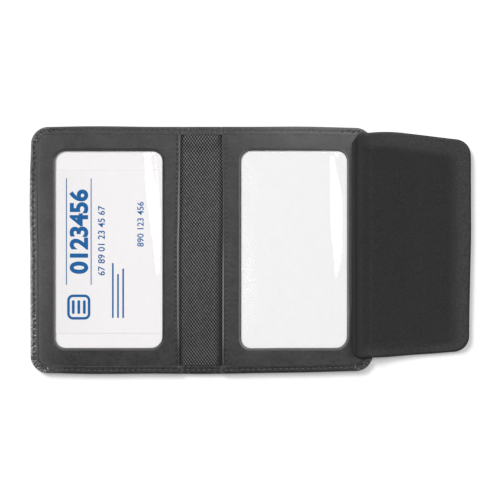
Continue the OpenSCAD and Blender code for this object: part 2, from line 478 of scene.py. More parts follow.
def grey(level, blush=0.0):
    """A grey as it shows on screen, from 0 to 255, as a linear colour, with a touch of pink."""
    value = level / 255
    linear = value / 12.92 if value <= 0.04045 else ((value + 0.055) / 1.055) ** 2.4
    return (linear * (1 + blush), linear, linear * (1 + 0.3 * blush), 1.0)


def leather(name, level, worn_level, pebble, pebble_depth, roughness, specular, mottle=9):
    """Black leather: fine pebbled grain, pores, cloudy dye, edges paled by use and by painted highlights, and
    painted shade.
    """
    g = material_graph(name)
    where = g.rest()
    drift = g.noise(where, 9.0, 4.0, 0.6)
    blots = g.noise(where, 1.3, 4.0, 0.65)
    fine = g.noise(where, 0.22, 2.0)
    warped = g.swayed(where, 700.0, (0.0005, 0.0005, 0.0005))
    inputs = {"Vector": warped, "Scale": 1 / (pebble * MM)}
    cells = g.add("TexVoronoi", inputs, "Distance", feature="DISTANCE_TO_EDGE")
    grain = g.spread(cells, low=0.0, high=0.28)
    cloud = g.spread(g.summed(drift, 0.4, blots, 0.6), low=0.36, high=0.64)
    colour = g.mixed(cloud, grey(level - mottle), grey(level + mottle))
    colour = g.mixed(g.spread(grain, 0.4, 0.0, 0.0, 0.5), colour, grey(level * 0.5))
    # This mark pales the leather with use and with painted highlights
    worn = g.times(g.mark("worn"), g.spread(fine, 0.55, 1.0, 0.35, 0.65))
    colour = g.mixed(worn, colour, grey(worn_level))
    colour = g.mixed(g.mark("shade"), colour, grey(level * 0.4))
    normal = g.bump(g.summed(grain, 0.7, fine, 0.3), pebble_depth, 0.8)
    normal = g.bump(blots, 0.1, 0.5, normal)
    rough = g.spread(blots, roughness - 0.06, roughness + 0.08)
    rough = g.calc("ADD", rough, g.times(g.mark("shade"), 0.5))
    return g.surface(colour, rough, specular, normal)


WEAVE_X = 0.785
WEAVE_Y = 1.08


def weave():
    """Plain-woven nylon: warp and weft take turns on top, in black, with painted highlights on the raised
    knots and painted shade between them.
    """
    g = material_graph("woven_nylon")
    where = g.rest()
    split = g.add("SeparateXYZ", {"Vector": g.swayed(where, 160.0, (0.0003, 0.0004, 0.0))})
    across = g.times(split, math.pi / (WEAVE_X * MM))
    up = g.times(split.node.outputs[1], math.pi / (WEAVE_Y * MM))
    falling = g.calc("COSINE", g.calc("ADD", across, up))
    rising = g.calc("COSINE", g.calc("SUBTRACT", across, up))
    knots = g.summed(falling, 0.58, rising, 0.42)
    strands = g.noise(g.stretched(where, 0.22), 0.13, 2.0)
    # Painted highlights on the raised knots, and painted shade between them
    light = g.spread(knots, low=-0.3, high=0.85)
    light = g.times(light, g.spread(g.noise(where, 1.1, 2.0), 0.6, 1.2))
    colour = g.mixed(light, grey(8), grey(132))
    colour = g.mixed(g.spread(strands, 0.0, 0.2, 0.35, 0.65), colour, grey(42))
    colour = g.mixed(g.mark("shade"), colour, grey(16))
    normal = g.bump(g.summed(knots, 0.5, strands, 0.25), 0.22, 0.7)
    return g.surface(colour, g.spread(strands, 0.45, 0.6), 0.4, normal, Sheen_Weight=0.1)


def pile():
    """Dense black felt: speckled fibres, and paler along its border."""
    g = material_graph("black_felt")
    where = g.rest()
    tufts = g.noise(where, 0.75, 4.0, 0.7)
    specks = g.noise(where, 1.0, 4.0, 0.8)
    drift = g.noise(where, 14.0, 3.0, 0.6)
    fibres = g.noise(g.stretched(where, 0.35), 0.3, 3.0)
    colour = g.mixed(g.spread(tufts, low=0.34, high=0.66), grey(36), grey(53))
    colour = g.mixed(g.spread(drift, 0.0, 0.3), colour, grey(52))
    border = g.times(g.mark("border"), g.spread(specks, 0.25, 1.15, 0.4, 0.6))
    colour = g.mixed(border, colour, grey(66))
    colour = g.mixed(g.mark("shade"), colour, grey(26))
    normal = g.bump(g.summed(tufts, 0.6, fibres, 0.4), 0.28, 0.9)
    rough = g.spread(fibres, 0.85, 1.0)
    return g.surface(colour, rough, 0.1, normal, Sheen_Weight=0.12, Sheen_Roughness=0.6)


def film():
    """Clear flexible vinyl: see-through, glossy, with a trace of haze and fine scuffs."""
    g = material_graph("clear_vinyl")
    where = g.rest()
    normal = g.bump(g.noise(where, 22.0, 2.0), 0.25, 0.3)
    rough = g.spread(g.noise(g.stretched(where, 0.15), 0.5, 4.0, 0.7), 0.05, 0.12, 0.4, 0.8)
    gloss = g.add("BsdfGlossy", {"Color": (1, 1, 1, 1), "Roughness": rough, "Normal": normal})
    clear = g.add("BsdfTransparent", {"Color": (0.998, 0.998, 0.998, 1)})
    outside = g.calc("SUBTRACT", 1.0, g.add("NewGeometry", output="Backfacing"))
    mirror = g.times(g.add("Fresnel", {"IOR": 1.42, "Normal": normal}), outside)
    return g.finish(g.add("MixShader", {0: mirror, 1: clear, 2: gloss}))


def paper(name, blush=0.0):
    """White card: faint pulp clouds, a slight tooth and painted shade along its edge."""
    g = material_graph(name)
    where = g.rest()
    pulp = g.noise(where, 3.0, 5.0, 0.65)
    tooth = g.noise(where, 0.12, 2.0)
    colour = g.mixed(g.spread(pulp), grey(247, blush), grey(250, blush))
    colour = g.mixed(g.mark("shade"), colour, grey(150))
    return g.surface(colour, g.spread(tooth, 0.5, 0.62), 0.1, g.bump(tooth, 0.01, 0.6))


def speckled(name, noise, colours, roughness, specular, relief=None, carried_over=False):
    """A plain material whose specks change its colour, roughness and height together."""
    g = material_graph(name)
    where = g.add("TexCoord", output="Object") if carried_over else g.rest()
    specks = g.noise(where, *noise)
    normal = g.bump(specks, *relief) if relief else None
    return g.surface(g.mixed(g.spread(specks), *colours), g.spread(specks, *roughness), specular, normal)


COVER_LEATHER = leather("cover_leather", 35, 178, 0.75, 0.08, 0.36, 0.56, 12)
FRAME_LEATHER = leather("frame_leather", 39, 152, 0.6, 0.06, 0.38, 0.52, 20)
FLAP_LEATHER = leather("flap_leather", 44, 95, 0.8, 0.08, 0.42, 0.56)
WOVEN = weave()
FELT = pile()
VINYL = film()
WHITE_CARD = paper("white_card")
PINKISH_CARD = paper("pinkish_card", 0.026)
DISPLAY_CARD = paper("display_card_stock", 0.026)
BLUES = ((0.01, 0.118, 0.35, 1), (0.018, 0.148, 0.4, 1))
INK = speckled("blue_ink", (0.35, 3.0, 0.6), BLUES, (0.4, 0.5), 0.06)
THREAD = speckled("black_thread", (0.12, 3.0), (grey(58), grey(108)), (0.4, 0.6), 0.45, (0.05, 0.6))
BROWNS = ((0.20, 0.15, 0.10, 1), (0.32, 0.25, 0.17, 1))
BOARD = speckled("stiffener_board", (1.5, 5.0, 0.7), BROWNS, (0.8, 0.95), 0.5, (0.05, 0.5), True)


# The cover, with its edge turned over onto the inside

EDGE_STEP = 0.33
CORNER_STEP = 0.25
UNDER_INSET = 6.0
EDGE_ROUND = 0.95  # width of the fold along the outer edge
LIP_INSETS = (4.45, 4.4, 4.25, 3.9, 3.4, 3.05, 2.75, 2.5, 2.25, 2.0, 1.75, 1.5, 1.25, 1.05)
LIP_DROPS = (0.12, 0.05, 0.01) + (len(LIP_INSETS) - 3) * (0,)
FOLD_ANGLES = (78, 62, 46, 30, 14, -2, -18, -34, -50, -66, -80)
UNDER_INSETS = (1.25, 1.6, 1.95, 2.25, 2.55, 2.9, 3.6, 4.6, UNDER_INSET)
STRAIGHT_W = HALF_W - CORNER_R
STRAIGHT_H = HALF_H - CORNER_R
SIDE_END = STRAIGHT_W + math.pi / 2 * CORNER_R + 2 * STRAIGHT_H  # where the short side ends along the edge
ROOT_CORNER = (86.5, -60.0)  # beside the flap's root the leather is painted a little lighter, against the flap's shadow


def edge_path():
    """The left half's edge from the spine's middle, along the top and round to the bottom.

    Points, inward normals, running lengths and a share of 1 inside the corners.
    """
    spots = [(-x, HALF_H, 0, -1) for x in spaced(0, STRAIGHT_W, EDGE_STEP)]
    for quarter, rise in ((1, STRAIGHT_H), (2, -STRAIGHT_H)):
        for a in spaced(quarter * math.pi / 2, (quarter + 1) * math.pi / 2, CORNER_STEP / CORNER_R):
            c, s = math.cos(a), math.sin(a)
            spots.append((-STRAIGHT_W + CORNER_R * c, rise + CORNER_R * s, -c, -s))
        if rise > 0:
            spots += [(-HALF_W, y, 1, 0) for y in spaced(rise, -rise, EDGE_STEP)]
    spots += [(x, -HALF_H, 0, 1) for x in (*spaced(-STRAIGHT_W, 0, EDGE_STEP), 0)]
    spots = np.array(spots, float)
    points = spots[:, :2]
    run = np.concatenate([[0], np.cumsum(np.linalg.norm(np.diff(points, axis=0), axis=1))])
    starts = np.array([[STRAIGHT_W], [SIDE_END]])
    corner = fall(np.abs(run - (starts + math.pi / 4 * CORNER_R)), 5.0, 10.0).max(0)
    return points, spots[:, 2:], run, corner


def hem_height(x):
    """The hem's top: low across the spine, and up over the pocket frames beyond it."""
    return HEM_LOW_TOP + (HEM_TOP - HEM_LOW_TOP) * smooth(np.abs(x), 9.8, 12.6)


def hem_side(x):
    """1 along the outer short edge, where the hem is gathered most, and 0 elsewhere."""
    return smooth(np.abs(x), HALF_W - 20, HALF_W - 8)


def hem_crest(run, depth):
    """The slanting folds between stitches, from 0 to 1."""
    lean = 1.9 * (depth - SEAM_INSET) + 0.5 * ripple(run, 0, 9.0, 12)
    return (0.5 + 0.5 * np.cos(2 * math.pi * run / EDGE_PITCH + lean)) ** 1.6


def stitch_holes(run, depth):
    """Where the thread dives into the leather: 1 at each hole and 0 away from it."""
    along = ((run + 0.7 * (depth - SEAM_INSET)) / EDGE_PITCH + 0.5) % 1.0 - 0.5
    wander = 0.35 * ripple(run, 0, 7.0, 28)
    return bell(along * EDGE_PITCH, 0.0, 0.72) * bell(depth, SEAM_INSET - 0.15 + wander, 0.6)


def hem_pleats(run):
    """The narrow radial folds in the corners, from -1 to 1."""
    return np.sin(2 * math.pi * run / 1.15 + 1.6 * ripple(run, 0, 6.0, 11))


def corner_spots(run, depth, corner):
    """Spots on the corners' puckers in two staggered rows, which carry painted highlights, and the painted
    shade between them.
    """
    low_side = smooth(run, SIDE_END - 30, SIDE_END - 18) * fall(run, SIDE_END - 2, SIDE_END + 4)
    corner = np.maximum(corner, 0.5 * low_side)
    total = 0
    for row, phase, seed in ((0.95, 0.0, 13), (2.3, math.pi, 14)):
        sway = 1.1 * ripple(run, 0, 4.0, seed)
        along = smooth(np.cos(2 * math.pi * run / 1.85 + phase + sway), -0.3, 0.6)
        size = smooth(ripple(run, 0, 2.3, seed + 2), -1.2, 0.3)
        total = total + along * size * bell(depth, row + 0.25 * np.sin(run), 0.6) * (0.4 + 0.3 * row)
    return 1.4 * corner * total, 0.5 * corner * (1 - np.clip(total, 0, 1)) * bell(depth, 2.2, 1.5)


def hem_relief(x, y, run, depth, corner):
    """Hem height over its flat top: the sewn groove, gathers along it, and creases at the folds."""
    across = np.abs(x)
    side = hem_side(x)
    along = np.cos(2 * math.pi * run / EDGE_PITCH)
    groove = (0.08 + 0.12 * side) * bell(depth, SEAM_INSET, 0.36) * (0.62 - 0.38 * along)
    holes = (0.05 + 0.45 * side) * stitch_holes(run, depth)
    knobbly = (hem_crest(run, depth) - 0.4) * (0.6 + 0.5 * ripple(run + 2 * depth, 0, 4.3, 27))
    gather = (0.05 + 0.36 * side) * bell(depth, 1.35, 0.8) + (0.03 + 0.16 * side) * bell(depth, 3.0, 0.6)
    pleats = 0.07 * corner * hem_pleats(run) * smooth(depth, 0.3, 1.6)
    pleats = pleats + 0.14 * corner_spots(run, depth, corner)[0]
    creases = 0.06 * bell(across, 12.4, 0.9) + 0.04 * bell(across, 3.1, 1.6)
    for place, deep, wide in ((-6.0, 0.12, 0.5), (0.0, 0.1, 0.45), (9.8, 0.1, 0.5), (5.9, 0.08, 0.6)):
        creases = creases - deep * bell(x, place, wide) * smooth(depth, 0.1, 0.6)
    uneven = 0.03 * ripple(x, y, 7.0, 21) + 0.02 * ripple(x, y, 2.6, 22)
    return gather * knobbly - groove + pleats + creases - holes + uneven * smooth(depth, 0.2, 1.0)


def under_relief(x, y):
    """The underside rises off the table a little along the folds and in shallow dents."""
    across = np.abs(x)
    depth = inset(x, y)
    folds = 0.14 * bell(across, CREASE, 0.7) + 0.06 * bell(across, CREASE - 1.6, 0.5)
    dents = 0.05 * (1 + ripple(x, y, 34, 31)) + 0.025 * (1 + ripple(x, y, 9, 32))
    return folds + np.maximum(dents, 0) * smooth(depth, 3, 9) + 0.24 * bell(depth, SEAM_INSET, 0.34)


def hem_marks(x, y, run, depth, corner, on_lip):
    """The hem's paling by use and by painted highlights, the corners' brightest spots apart, and its painted
    shade.
    """
    across = np.abs(x)
    side = hem_side(x)
    # Painted highlights, with some paling by use: on the outer fold and more towards the top, on the side's
    # rim, along the lip, on the crests of the gathers and pleats, and on the bumps by the spine's creases
    fading = 1 - corner * (0.6 + 0.25 * smooth(-y, 40, 55))
    patchy = smooth(ripple(x, y, 3.1, 23), -0.5, 0.9)
    specks = smooth(ripple(x, y, 1.25, 25) + 0.6 * ripple(x, y, 0.8, 26), -0.1, 1.0)
    painted_glints = side * (0.25 + 0.75 * patchy) * (0.15 + 0.85 * specks)
    worn = (0.02 + 0.08 * smooth(y, -20, 20)) * bell(depth, 0.15, 0.5)
    on_side = side * fall(np.abs(y), 55, 60) * (1 - 0.6 * smooth(y, 30, 44))
    worn += on_side * fading * (0.48 + 0.3 * patchy) * bell(depth, 0.55, 0.75)
    lip_line = 0.1 + fall(across, 10, 13) * (0.3 * smooth(y, -20, 20) - 0.1)
    worn += lip_line * (1 - side) * bell(depth, LIP_INSETS[0], 0.22) * on_lip
    gathers = (0.9 + 0.4 * bell(y, 20, 18) - 0.4 * smooth(y, 36, 48)) * bell(depth, 1.3, 0.6)
    worn += painted_glints * gathers * smooth(hem_crest(run, depth), 0.2, 0.9)
    worn += 0.75 * painted_glints * bell(depth, 2.75, 0.45) * (1 - corner) * (1 - 0.6 * smooth(y, 25, 45))
    pleat_tops = smooth(hem_pleats(run), 0.0, 0.9) * bell(depth, 1.9, 1.1)
    worn += 0.3 * corner * smooth(y, 0, 30) * pleat_tops
    bumps = bell(across, 12.3, 0.5) + bell(across, 7.0, 0.35)
    worn += 0.3 * bumps * smooth(ripple(x, y, 2.4, 24), 0.0, 0.9) + 0.22 * bell(across, 10.9, 0.8)
    spots, shade_between = corner_spots(run, depth, corner)
    spots = 0.9 * np.clip(spots * (0.2 + 0.8 * smooth(-y, 0, 30)), 0, 1)
    # Painted shade in the stitch holes, between the corners' puckers, towards the spine's lower end and along
    # the lip
    painted_shade = (0.25 + 0.75 * side) * stitch_holes(run, depth) + shade_between * smooth(-y, 0, 30)
    painted_shade += 0.15 * fall(across, 9, 12) * smooth(-y, -10, 20)
    painted_shade += 0.5 * side * bell(depth, LIP_INSETS[0], 0.25) * fall(y, 25, 42)
    return np.clip(worn + spots, 0, 1) + spots, painted_shade


def cover_half():
    """The left half's leather as one solid, hem, outer edge and underside, with its marks."""
    path, normal, run, corner = edge_path()
    run, corner, normal = run[:, None], corner[:, None], normal[:, None, :]
    angles = np.radians(FOLD_ANGLES)
    fold_depth = EDGE_ROUND * (1 - np.cos(angles) ** 0.8)
    fold_level = np.sign(np.sin(angles)) * np.abs(np.sin(angles)) ** 0.8
    depth = np.concatenate([LIP_INSETS, fold_depth, UNDER_INSETS])
    lips, bottom = len(LIP_INSETS), len(LIP_INSETS) + len(angles)
    lip, fold, under = slice(lips), slice(lips, bottom), slice(bottom, None)
    rows, columns = len(path), len(depth)
    xy = path[:, None, :] + depth[None, :, None] * normal
    x, y = xy[..., 0], xy[..., 1]
    top = hem_height(x[:, :1])
    relief = hem_relief(x, y, run, depth, corner)
    share = (1 + fold_level) / 2
    z = top + relief
    z[:, lip] -= LIP_DROPS
    z[:, fold] = top * share + relief[:, fold] * share**2
    z[:, under] = under_relief(x, y)[:, under]
    inner_xy, inner_z = xy.copy(), z.copy()
    over_pocket = smooth(np.abs(x[:, :1]), 10.8, 12.5)
    skived = top - HEM_T + (frame_level(depth[lip]) - FRAME_BORDER_TOP) * over_pocket
    inner_z[:, lip] = np.minimum(skived + 0.08, z[:, lip] - 0.06)
    inner_xy[:, fold] += WRAP_T * 0.9 * np.cos(angles)[:, None] * normal
    low, high = COVER_T * 0.96, top - HEM_T
    inner_z[:, fold] = low + (high - low) * share
    inner_z[:, under] = low + z[:, under] * 0.2
    outer, inner = (np.dstack(skin).reshape(-1, 3) for skin in ((xy, z), (inner_xy, inner_z)))
    firsts = (np.arange(rows - 1)[:, None] * columns + np.arange(columns - 1)).ravel().tolist()
    faces = [(a, a + 1, a + columns + 1, a + columns) for a in firsts]

    last = np.arange(rows) * columns + columns - 1
    rim = outer[last, :2]
    spine_y = spaced(rim[-1, 1], rim[0, 1], 2.5)[1:]
    loop = np.vstack([rim, np.c_[np.zeros(len(spine_y)), spine_y]])
    fine = [0.8, 1.8, 2.8, *np.arange(3.6, 8.6, 0.4), 9.2, 10.2, 11.3]
    broad = np.arange(12.6, HALF_W - UNDER_INSET - 0.8, 2.4)
    points = grid(-np.concatenate([fine, broad]), np.arange(-59.0, 59.5, 2.0))
    points = points[inset(*points.T) > UNDER_INSET + 0.7]
    flat, triangles, origin = triangulated(
        [loop], points, lambda u, v: (inset(u, v) > UNDER_INSET - 0.005) & (u < 0)
    )
    on_rim = (origin >= 0) & (origin < rows)
    number = np.where(on_rim, last[np.clip(origin, 0, rows - 1)], len(outer) + np.cumsum(~on_rim) - 1)
    faces += list(map(tuple, number[np.array(triangles)[:, ::-1]].tolist()))
    u, v = flat[~on_rim].T
    lift = under_relief(u, v)
    outer = np.vstack([outer, np.c_[u, v, lift]])
    inner = np.vstack([inner, np.c_[u, v, low + 0.2 * lift]])

    worn, painted_shade = hem_marks(x, y, run, depth, corner, np.arange(columns) < lips)
    upper = np.concatenate([np.ones(lips), smooth(fold_level, -0.6, 0.4), np.zeros(len(UNDER_INSETS))])
    marks = (np.pad(m.ravel(), (0, len(u))) for m in (worn * upper, np.clip(painted_shade * upper, 0, 1)))
    return shell(outer, inner, faces), *marks


def fold_bend(side):
    """The bodies on each side of a half's fold, and where the bend starts and ends."""
    outer = side * (CREASE + FOLD_REACH) * MM
    near = side * (CREASE - FOLD_REACH) * MM
    level = COVER_T * MM
    if side < 0:
        return "left_panel", "spine", (outer, 0, level), (near, 0, level)
    return "spine", "right_panel", (near, 0, level), (outer, 0, level)


cover, cover_worn, cover_shade = cover_half()
# The right half gets fainter paling and fainter painted highlights
for (side, word, points, faces), wear_and_highlight_share, most in zip(halves(cover), (1.0, 0.6), (2.0, 0.45)):
    x, y, _ = points.T
    # Painted sheen, and painted light beside the flap's root against the flap's shadow
    scuffs = painted_sheen(x, y, low_right=-0.02) + 0.08 * spot(x, y, ROOT_CORNER, 6)
    make_piece(
        f"leather_cover_{word}",
        (settled(points), faces),
        COVER_LEATHER,
        "cover_leather",
        (f"cover_{word}", f"turned_edge_{word}", "cover_spine", "turned_edge_spine"),
        bend=fold_bend(side),
        worn=np.minimum(wear_and_highlight_share * np.tile(cover_worn, 2), most) + scuffs,
        shade=cover_shade,
    )


# The woven lining


def lining_half():
    columns = np.concatenate([np.arange(0.5, 12.5, 0.5), np.arange(14.0, 91.0, 3.0)])
    ends = np.array([62.9, 62.65, 62.4, 62.15, 61.8, 61.4, 61.0, 60.4])
    points = grid(-columns, np.concatenate([-ends, np.arange(-59.5, 60, 1.5), ends]))
    return triangulated(
        [half_loop(0, LINING_INSET, 1.0)],
        points[inset(*points.T) > LINING_INSET + 0.6],
        lambda u, v: (inset(u, v) > LINING_INSET - 0.01) & (u < 0),
    )


def lining_lift(x, y):
    """Across the spine the lining stands a little off the leather, in soft lengthwise folds."""
    across = np.abs(x)
    from_end = HALF_H - np.abs(y)
    free = fall(across, 8.5, 11.5) * smooth(from_end, 4.5, 9.0)
    folds = 0.09 + 0.07 * np.cos(2 * math.pi * x / 7.2 + 0.4) + 0.05 * ripple(x * 2.2, y, 30, 41)
    puffed = smooth(from_end, 4.2, 4.7) * fall(from_end, 7, 15) * fall(across, 8.5, 11)
    by_cards = smooth(across, 5.0, 7.3) * smooth(from_end, 9.5, 12.0)  # drawn-out cards pass over it here
    puffed = puffed * (0.35 + 0.4 * smooth(y, -20, 20)) * (1 - by_cards)
    return free * np.clip(folds, 0, 0.19) + puffed


xy, triangles, _ = lining_half()
lift = lining_lift(*xy.T)
lining = plate(xy, LINING_TOP + lift, LINING_LOW + 0.01 + lift, triangles)
for (side, word, points, faces), darkest in zip(halves(lining), (0.0, 0.75)):
    across, low = np.abs(points[:, 0]), -points[:, 1]
    shade_from = 8.9 - 2.2 * smooth(low, -25, 5)
    piece = make_piece(
        f"woven_lining_{word}",
        (settled(points), faces),
        WOVEN,
        "lining",
        (f"lining_{word}", "lining_spine"),
        bend=fold_bend(side),
        shade=darkest * smooth(across, shade_from, 11.2) + 0.24 * smooth(low, -10, 60),
    )


# The pocket frames

BEVEL_W = 1.5  # the pressed edge round the window
BEVEL_DROP = 0.46


def frame_half():
    border = half_loop(MOUTH_X, WRAP_T, 0.7)
    window = box_loop(-WINDOW_X, WINDOW_Y, WINDOW_W, WINDOW_H, WINDOW_R, 0.6)
    ridges = [moved_in(border, d) for d in (2.2, 2.5, 2.75, 3.0, 3.25, 3.5, 3.8, 4.15, 4.5, 5.0)]
    ridges += [moved_in(window, -d) for d in (0.1, 0.25, 0.45, 0.7, 1.0, 1.3, 1.6, 2.0)]
    ridges = np.vstack(ridges)
    x, y = ridges.T
    near_mouth = (x > -MOUTH_X - 4.0) & (np.abs(y) < 61)
    ridges = ridges[(x < -MOUTH_X - 0.05) & (inset(x, y) > WRAP_T + 0.05) & ~near_mouth]
    mouth = -MOUTH_X - np.array([0.08, 0.2, 0.36, 0.6, 0.9, 1.4, 1.85, 3.0, 3.6])
    seam = -MOUTH_X - MOUTH_INSET + np.array([-0.3, -0.15, 0.0, 0.15, 0.3])
    lines = grid(np.concatenate([mouth, seam]), np.arange(-60.9, 61, MOUTH_PITCH / 6))
    middle = grid(-np.arange(16.6, 88.0, 1.3), np.arange(-61.1, 61.2, 1.3))
    middle = middle[(inset(*middle.T) > 6.3) & (window_gap(*middle.T) > 2.4)]
    return triangulated(
        [border, window],
        np.vstack([ridges, lines[inset(*lines.T) > 6.0], middle]),
        lambda u, v: (inset(u, v) > WRAP_T - 0.01) & (u < -MOUTH_X) & (window_gap(u, v) > -0.01),
    )


def frame_top(x, y):
    """Height of a pocket frame, with its bevelled window, burnished mouth and seam."""
    depth, gap, mouth = inset(x, y), window_gap(x, y), -MOUTH_X - x
    bevel = BEVEL_DROP * fall(gap, 0.0, BEVEL_W) + 0.1 * fall(gap, 0.0, 0.2)
    rounding = 0.3 * fall(mouth, 0.0, 0.5) + 0.1 * fall(mouth, 0.0, 1.3)
    groove = 0.16 * bell(mouth, MOUTH_INSET, 0.34) * (0.6 - 0.4 * np.cos(2 * math.pi * y / MOUTH_PITCH))
    swell = 0.05 * ripple(x, y, 16, 51) + 0.025 * ripple(x, y, 5, 52)
    raised = swell * smooth(gap, 0.2, 2.0) - bevel - rounding
    return frame_level(depth) + raised * smooth(depth, *FRAME_STEP) - groove * smooth(depth, 5.2, 6.2)


def along_edge(distance, half):
    """1 beyond the straight part of a window's edge, on the side that distance points to."""
    return smooth(distance, half - WINDOW_R, half - 1)


xy, triangles, _ = frame_half()
x, y = xy.T
depth, gap, mouth = inset(x, y), window_gap(x, y), -MOUTH_X - x
frame_solid = plate(xy, frame_top(x, y), frame_level(depth) - FRAME_T, triangles)
across, up = x + WINDOW_X, y - WINDOW_Y
outer_edge, inner_edge = (along_edge(s * across, WINDOW_W / 2) for s in (-1, 1))
low_edge, high_edge = (along_edge(s * up, WINDOW_H / 2) for s in (-1, 1))
straight = outer_edge * (1 - 0.75 * smooth(np.abs(up), WINDOW_H / 2 - WINDOW_R - 1.5, WINDOW_H / 2 - 1))
near = np.tile(fall(gap, 0, 4), 2)
near_outer, near_low, near_high = (near * np.tile(edge, 2) for edge in (outer_edge, low_edge, high_edge))
at_side = smooth(-x, 80, 86)
arc = WINDOW_R * (1 - math.sqrt(0.5))
for side, word, points, faces in halves(frame_solid):
    px, py, _ = points.T
    if side < 0:
        px -= 0.3 * near_outer
    else:
        py += 0.22 * near_high - 0.15 * near_low * fall(px, 30, 45)
        px -= 0.2 * near_outer
    roundest = (side * WINDOW_X + WINDOW_W / 2 - arc, WINDOW_Y - WINDOW_H / 2 + arc)
    pushed = 0.24 * near * spot(px, py, roundest, 4.4)
    px -= pushed
    py += pushed
    px, py, _ = points[: len(xy)].T
    # Painted shadow of the flap's root on the frame, fading towards the root's ends, and painted shade along
    # the hem's lip
    shade_from = 80.5 - 3.2 * smooth(-py, 25, 50)
    shade = 0.74 * np.clip((px - shade_from) / (82.4 - shade_from), 0, 1)
    shade *= (1 - 0.15 * smooth(-py, 50, 54) - 0.5 * smooth(-py, 56.8, 59.8)) * fall(py, 55.5, 59)
    shade += 0.4 * bell(depth, 4.6, 0.25) * fall(y, 25, 42) * at_side
    # Painted highlights along the window's bevelled edges and the mouth's edge, with some paling by use;
    # painted shade in the mouth's stitch holes and groove
    worn = 0.1 * bell(depth, 5.0, 0.7) * at_side + (0.15 * high_edge + 0.35 * low_edge) * bell(gap, 0.4, 0.6)
    if side < 0:
        ends = (1 - 0.4 * smooth(y, 34, 50)) * (1 - 0.9 * smooth(-y, 38, 58))
        worn += (0.7 + 0.35 * bell(y, 5, 25)) * ends * bell(mouth, 0.7, 0.4)
        worn += straight * fall(gap, 0.0, 1.6)
        shade += 0.25 * bell(mouth, MOUTH_INSET, 0.4) * (1 - np.cos(2 * math.pi * y / MOUTH_PITCH))
    else:
        low_end = 1 - 0.6 * smooth(-y, 44, 58)
        worn += (0.2 + 0.7 * smooth(-y, -16, 20)) * low_end * bell(mouth, 0.3, 0.33)
        worn += 0.75 * straight * bell(gap, 0.5, 0.4) + 1.1 * inner_edge * bell(gap, 0.75, 0.26)
        worn += (0.12 + 0.2 * smooth(-x, 45, 70)) * high_edge * bell(gap, 1.1, 0.35)
        worn += 0.4 * straight * smooth(-up, 26, 36) * bell(gap, 1.1, 0.3)
        shade += (0.2 + 0.3 * smooth(-y, -10, 20)) * bell(mouth, 1.1, 0.35)
    # Painted sheen, and painted light beside the flap's root against its shadow
    make_piece(
        f"pocket_frame_{word}",
        (settled(bowed(points, side)), faces),
        FRAME_LEATHER,
        "frame_leather",
        (f"frame_{word}",),
        body=f"{word}_panel",
        worn=np.clip(worn, 0, 1) + painted_sheen(px, py) + 0.05 * spot(px, py, ROOT_CORNER, 6),
        shade=np.clip(shade, 0, 1),
    )


# The clear windows


def vinyl_half():
    window = box_loop(-WINDOW_X, WINDOW_Y, WINDOW_W, WINDOW_H, WINDOW_R, 0.8)
    rims = [moved_in(window, d) for d in (-0.3, 0.0, 0.2, 0.45, 0.8)]
    points = grid(-np.arange(12.7, 87.0, 0.7), np.arange(-60.7, 60.8, 1.0))
    clear = (inset(*points.T) > VINYL_INSET + 0.6) & (np.abs(window_gap(*points.T) + 0.25) > 0.85)
    return triangulated(
        [half_loop(MOUTH_X, VINYL_INSET, 1.5)],
        np.vstack([*rims, points[clear]]),
        lambda u, v: (inset(u, v) > VINYL_INSET - 0.01) & (u < -MOUTH_X),
    )


# One buckled facet in each film: its corners, clockwise from above, and its slope along x
FACETS = {
    -1: (((-31.5, 51.0), (-27.6, 51.0), (-22.5, 14.0), (-24.4, -12.5), (-30.8, 33.0)), -0.039),
    1: (((69.0, 50.4), (72.0, 50.4), (78.2, 24.0), (76.6, -4.0), (73.8, -14.0), (70.2, 8.0)), 0.085),
}


def vinyl_lift(x, y, side):
    """The film bows up inside its window, and one flat facet of it is tilted."""
    gap = window_gap(x, y)
    free = smooth(-gap, 0.0, 14.0)
    bow = 0.26 + 0.08 * free + 0.03 * free * ripple(x, y, 45, 61 + side)
    corners, slope = FACETS[side]
    loop = np.array(corners)[::-1]
    real_x = -side * x
    facet = np.clip(slope * (real_x - loop[:, 0].mean()) + 0.44, 0.1, 0.76)
    beside = fall(loop_depth(loop, np.c_[real_x, y]), 0.0, 3.0)
    share = np.maximum(inside_loop(loop, real_x, y), beside)
    return (bow * (1 - share) + facet * share) * smooth(-gap, 0.0, 0.45)


xy, triangles, _ = vinyl_half()
for half, (side, word) in enumerate(SIDES):
    lift = vinyl_lift(*xy.T, side)
    points, faces = halves(plate(xy, VINYL_TOP - 0.01 + lift, VINYL_LOW + lift, triangles))[half][2:]
    make_piece(
        f"clear_window_{word}",
        (settled(bowed(points, side)), faces),
        VINYL,
        "clear_vinyl",
        (f"window_{word}",),
        body=f"{word}_panel",
    )


# The cards

PUSH = 0.19  # the cards are pressed up against their windows
INSERT_LOW = LINING_TOP + CARD_PLAY
DISPLAY_LOW = INSERT_LOW + CARD_T + PUSH + 0.005


def card(x, y, size, thick, low, bow):
    """A thin card with rounded corners that bows up a little along its middle, and its edge's mark."""
    w, h, r = size
    loop = box_loop(x, y, w, h, r, 1.2)
    columns, rows = (np.arange(a - b / 2 + 1.5, a + b / 2 - 1, 2.5) for a, b in ((x, w), (y, h)))
    xy, triangles, _ = triangulated(
        [loop, moved_in(loop, 0.15), moved_in(loop, 0.35)],
        grid(columns, rows),
        lambda u, v: box_depth(u - x, v - y, w / 2, h / 2, r) > -0.005,
    )
    u, v = xy[:, 0] - x, xy[:, 1] - y
    edge = box_depth(u, v, w / 2, h / 2, r)
    lift = low + bow * (1 - (2 * u / w) ** 2)
    softened = 0.008 * fall(edge, 0, 0.15)
    solid = plate(xy, lift + thick - softened, lift + softened, triangles)
    return solid, np.tile(fall(edge, 0.1, 0.35), 2)


